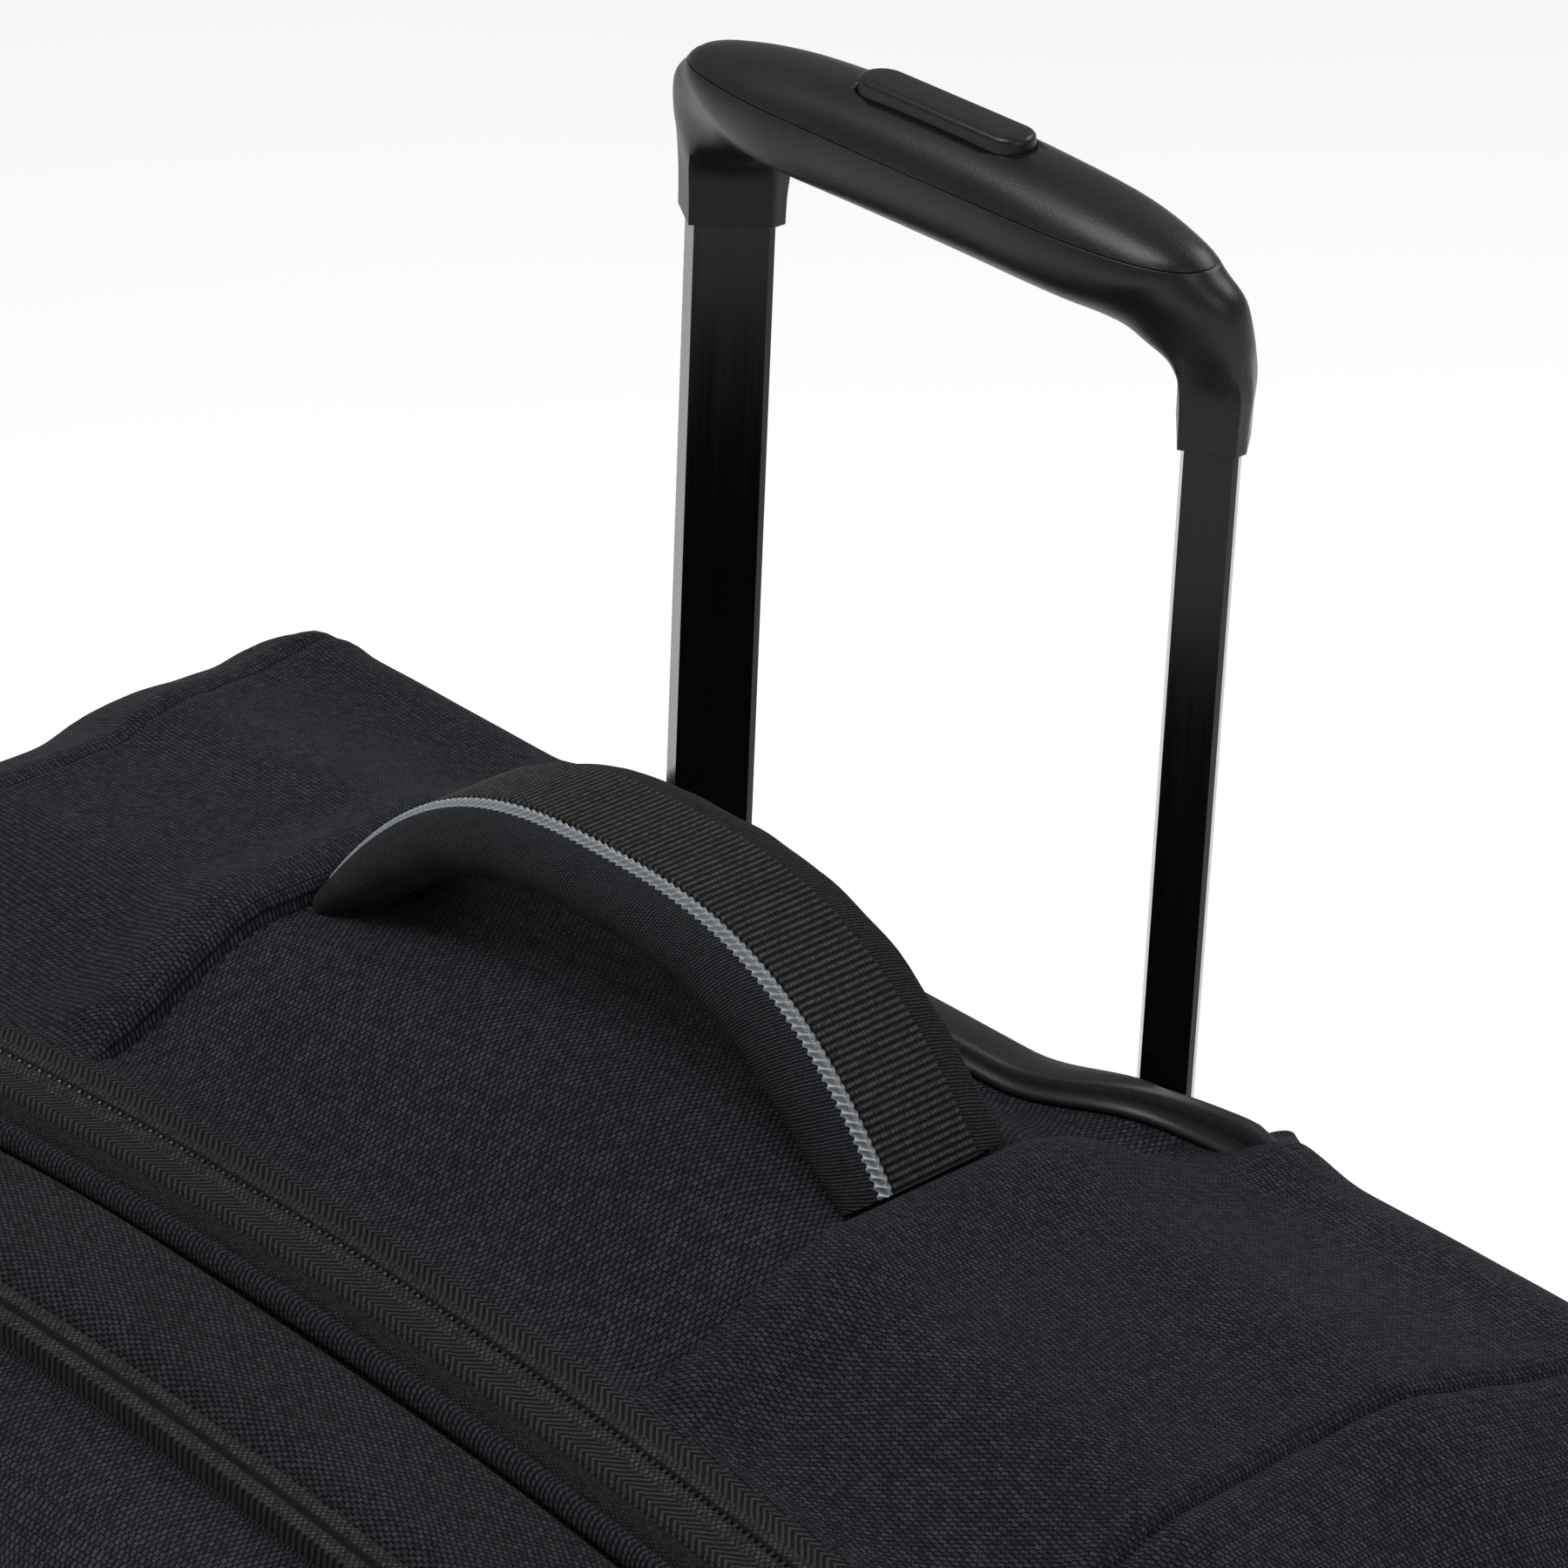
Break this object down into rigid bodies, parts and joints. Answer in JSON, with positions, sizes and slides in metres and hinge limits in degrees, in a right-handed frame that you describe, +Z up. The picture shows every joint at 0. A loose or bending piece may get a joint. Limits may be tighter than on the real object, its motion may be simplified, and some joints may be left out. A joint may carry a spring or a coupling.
{
  "type": "softside upright suitcase",
  "caption": "Softside upright suitcase with padded carry handle, telescopic trolley handle, zipped lid and front pocket, and wheels at the back edge.",
  "frame": {"origin": "on the floor, under the middle of the whole object's box, which the side handle puts 15 mm to the right of the case's own middle", "axes": "+Z up, +Y to the back where the trolley handle and the wheels are, +X to the right of someone who faces the lid"},
  "size_m": [0.4907, 0.28, 0.8232],
  "materials": {
    "fabric": "woven, matt",
    "trim_fabric": "knitted, matt",
    "lining": "plain woven lining",
    "board": "moulded board",
    "webbing": "ribbed webbing",
    "stripe": "chunky pale weave",
    "moulding": "fine grain",
    "tube": "gloss black",
    "steel": "bright",
    "zip": "coil zip on woven tape",
    "tyre": "matt",
    "hub": "satin"
  },
  "bodies": {
    "case": {"side_panel_left": "fabric", "side_panel_right": "fabric", "top_panel_left": "fabric", "top_panel_right": "fabric", "top_panel_centre": "fabric", "bottom_panel": "trim_fabric", "back_panel": "board", "liner_board": "lining", "body_frame_wire": "steel", "wheel_housing_left": "moulding", "wheel_housing_right": "moulding", "wheel_axle_left": "steel", "wheel_axle_right": "steel", "foot_left": "moulding", "foot_right": "moulding", "back_skid_left": "moulding", "back_skid_right": "moulding", "trolley_housing": "moulding", "tube_foot_left": "moulding", "tube_foot_right": "moulding", "outer_tube_left": "tube", "outer_tube_right": "tube", "top_handle_pad": "trim_fabric", "top_handle_webbing": "webbing", "top_handle_stripe": "stripe", "top_handle_stiffener": "board", "side_handle_pad": "trim_fabric", "side_handle_webbing": "webbing", "main_zip_body_half": "zip", "packing_strap": "webbing", "packing_buckle": "moulding"},
    "wheel_left": {"wheel_tyre_left": "tyre", "wheel_hub_left": "hub"},
    "wheel_right": {"wheel_tyre_right": "tyre", "wheel_hub_right": "hub"},
    "middle_stage": {"middle_tube_left": "tube", "middle_tube_right": "tube", "middle_tube_bush_left": "moulding", "middle_tube_bush_right": "moulding"},
    "grip_stage": {"inner_tube_left": "tube", "inner_tube_right": "tube", "grip_lower_shell": "moulding", "grip_top_cover": "moulding", "button_spring": "steel"},
    "push_button": {"release_button": "moulding", "release_bar": "moulding", "release_rod_left": "steel", "release_rod_right": "steel"},
    "left_pin": {"lock_pin_left": "steel"},
    "right_pin": {"lock_pin_right": "steel"},
    "lid": {"lid_shell": "fabric", "lid_frame_wire": "steel", "main_zip_lid_half": "zip"},
    "front_pocket": {"front_pocket_flap": "fabric"},
    "lower_slider": {"main_lower_slider": "zip"},
    "lower_pull": {"main_lower_pull_tab": "moulding"},
    "upper_slider": {"main_upper_slider": "zip"},
    "upper_pull": {"main_upper_pull_tab": "moulding"},
    "small_slider": {"pocket_slider": "zip"},
    "small_pull": {"pocket_pull_tab": "moulding"}
  },
  "joints": [
    {"name": "wheel_left_spin", "type": "hinge", "parent": "case", "child": "wheel_left", "pos_m": [-0.1903, 0.1, 0.033], "axis": [1, 0, 0], "continuous": true},
    {"name": "wheel_right_spin", "type": "hinge", "parent": "case", "child": "wheel_right", "pos_m": [0.1597, 0.1, 0.033], "axis": [1, 0, 0], "continuous": true},
    {"name": "middle_stage_slide", "type": "slide", "parent": "case", "child": "middle_stage", "axis": [0, 0, 1], "range_m": [0, 0.18]},
    {"name": "grip_stage_slide", "type": "slide", "parent": "middle_stage", "child": "grip_stage", "axis": [0, 0, 1], "range_m": [-0.141, 0.057]},
    {"name": "button_push", "type": "slide", "parent": "grip_stage", "child": "push_button", "axis": [0, 0, -1], "range_m": [0, 0.003], "stiffness_N_per_m": 800, "springref_m": -0.003, "deforming": ["button_spring"]},
    {"name": "left_pin_draw", "type": "slide", "parent": "grip_stage", "child": "left_pin", "axis": [0, -1, 0], "range_m": [0, 0.0025]},
    {"name": "right_pin_draw", "type": "slide", "parent": "grip_stage", "child": "right_pin", "axis": [0, -1, 0], "range_m": [0, 0.0025]},
    {"name": "lid_hinge", "type": "hinge", "parent": "case", "child": "lid", "pos_m": [-0.2415, -0.045, 0.33], "axis": [0, 0, -1], "range_deg": [0, 170]},
    {"name": "front_pocket_tilt", "type": "hinge", "parent": "lid", "child": "front_pocket", "pos_m": [-0.0153, -0.1036, 0.15], "axis": [1, 0, 0], "range_deg": [0, 28]},
    {"name": "lower_slider_run", "type": "slide", "parent": "case", "child": "lower_slider", "axis": [0, 0, 1], "range_m": [-0.2, 0.002]},
    {"name": "lower_pull_swing", "type": "hinge", "parent": "lower_slider", "child": "lower_pull", "pos_m": [0.2145, -0.045, 0.335], "axis": [0, -1, 0], "range_deg": [0, 160]},
    {"name": "upper_slider_run", "type": "slide", "parent": "case", "child": "upper_slider", "axis": [0, 0, 1], "range_m": [-0.002, 0.12]},
    {"name": "upper_pull_swing", "type": "hinge", "parent": "upper_slider", "child": "upper_pull", "pos_m": [0.2145, -0.045, 0.385], "axis": [0, -1, 0], "range_deg": [0, 160]},
    {"name": "small_slider_run", "type": "slide", "parent": "lid", "child": "small_slider", "axis": [0, 0, 1], "range_m": [-0.2, 0.06]},
    {"name": "small_pull_swing", "type": "hinge", "parent": "small_slider", "child": "small_pull", "pos_m": [0.2081, -0.104, 0.45], "axis": [0, -1, 0], "range_deg": [0, 160]}
  ],
  "couplings": [
    {"joint": "left_pin_draw", "follows": "button_push", "ratio": 0.8},
    {"joint": "right_pin_draw", "follows": "button_push", "ratio": 0.8}
  ]
}
